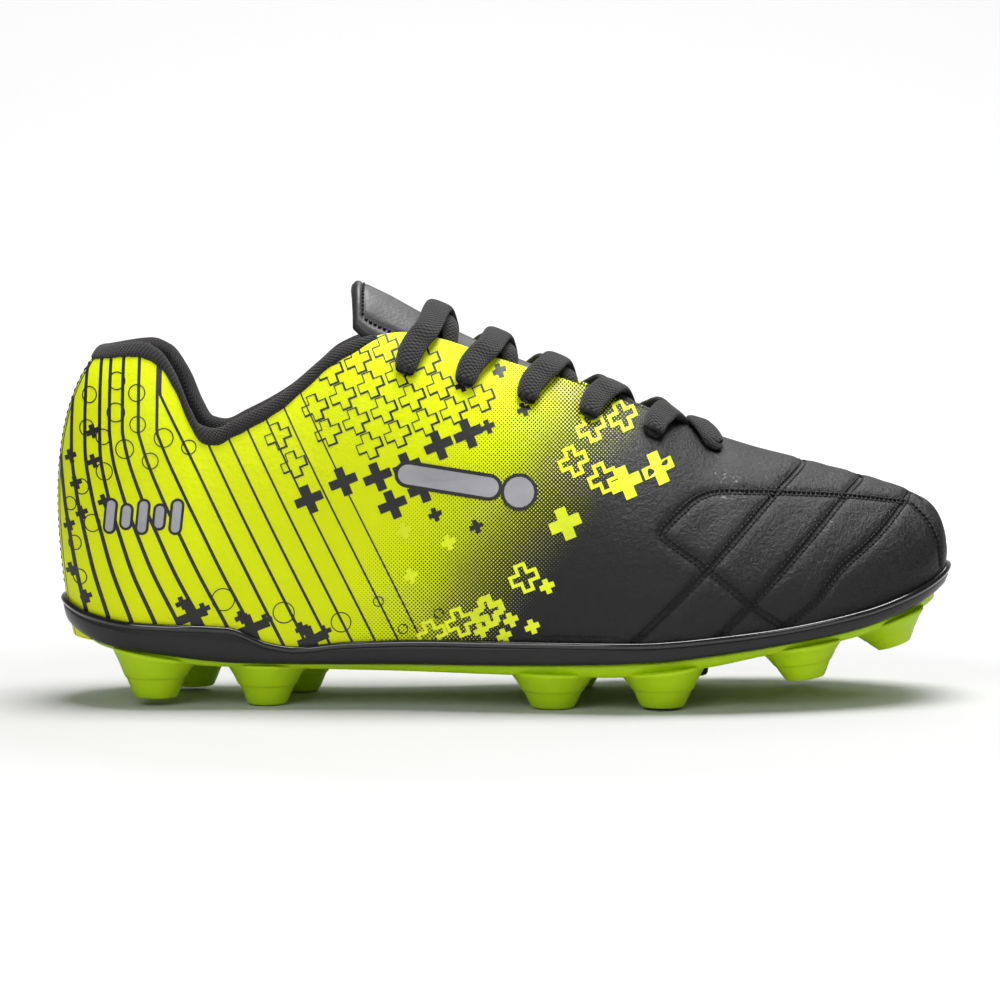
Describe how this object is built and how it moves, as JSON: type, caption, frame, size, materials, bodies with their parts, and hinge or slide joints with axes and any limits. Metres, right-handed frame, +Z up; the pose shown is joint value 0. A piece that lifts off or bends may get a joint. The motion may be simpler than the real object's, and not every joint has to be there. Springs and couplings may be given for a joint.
{
  "type": "soccer cleat",
  "caption": "Low-cut lace-up soccer cleat for the right foot: moulded studded plate, sidewall tray, padded upper, tongue and lace; the forefoot bends and the tongue's free end folds.",
  "frame": {"origin": "under the middle of the shoe's bounding box, at ground level", "axes": "+X from heel to toe, +Y from the outer to the inner side of the foot, +Z up"},
  "size_m": [0.2806, 0.0946, 0.1316],
  "materials": {
    "printed_lime": "satin printed synthetic leather",
    "sole_lime": "matte moulded plastic",
    "black_leather": "fine-grained satin synthetic leather",
    "black_moulding": "satin with a glossy lip",
    "black_knit": "knitted tape and woven lace",
    "black_mesh": "open mesh lining",
    "tongue_leather": "smooth satin synthetic leather",
    "foam": "open-cell foam",
    "board_fibre": "pressed fibre board",
    "stiffener": "thermoplastic sheet",
    "shank_steel": "plain sprung steel"
  },
  "bodies": {
    "rear": {"outsole_heel": "sole_lime", "forefoot_insert": "black_moulding", "sidewall_heel": "black_moulding", "heel_filler": "foam", "ball_filler": "foam", "shank_plate": "shank_steel", "insole_board_heel": "board_fibre", "sockliner_heel": "black_mesh", "quarter_lateral": "printed_lime", "quarter_medial": "printed_lime", "eyestay_lateral": "black_mesh", "eyestay_medial": "black_mesh", "quarter_lining_lateral": "black_mesh", "quarter_lining_medial": "black_mesh", "heel_counter": "stiffener", "collar_foam": "foam", "heel_lining": "black_mesh", "topline_binding": "black_knit", "tongue_face": "tongue_leather", "tongue_foam": "foam", "tongue_lining": "black_mesh", "lace": "black_knit"},
    "forefoot": {"outsole_forefoot": "sole_lime", "sidewall_forefoot": "black_moulding", "toe_filler": "foam", "insole_board_forefoot": "board_fibre", "sockliner_forefoot": "black_mesh", "toe_vamp": "black_leather", "toe_puff": "stiffener", "vamp_lining": "black_mesh", "vamp_flex_panel": "black_leather"},
    "tongue_flap": {"tongue_flap_face": "tongue_leather", "tongue_flap_foam": "foam", "tongue_flap_lining": "black_mesh"}
  },
  "joints": [
    {"name": "forefoot_flex", "type": "hinge", "parent": "rear", "child": "forefoot", "pos_m": [0.0722, 0, 0.022], "axis": [0, -1, 0], "range_deg": [-4, 25], "stiffness_Nm_per_rad": 1.5, "deforming": ["vamp_flex_panel"]},
    {"name": "tongue_flap_hinge", "type": "hinge", "parent": "rear", "child": "tongue_flap", "pos_m": [-0.0313, 0, 0.1236], "axis": [0, 1, 0], "range_deg": [-4, 45], "stiffness_Nm_per_rad": 0.01}
  ]
}
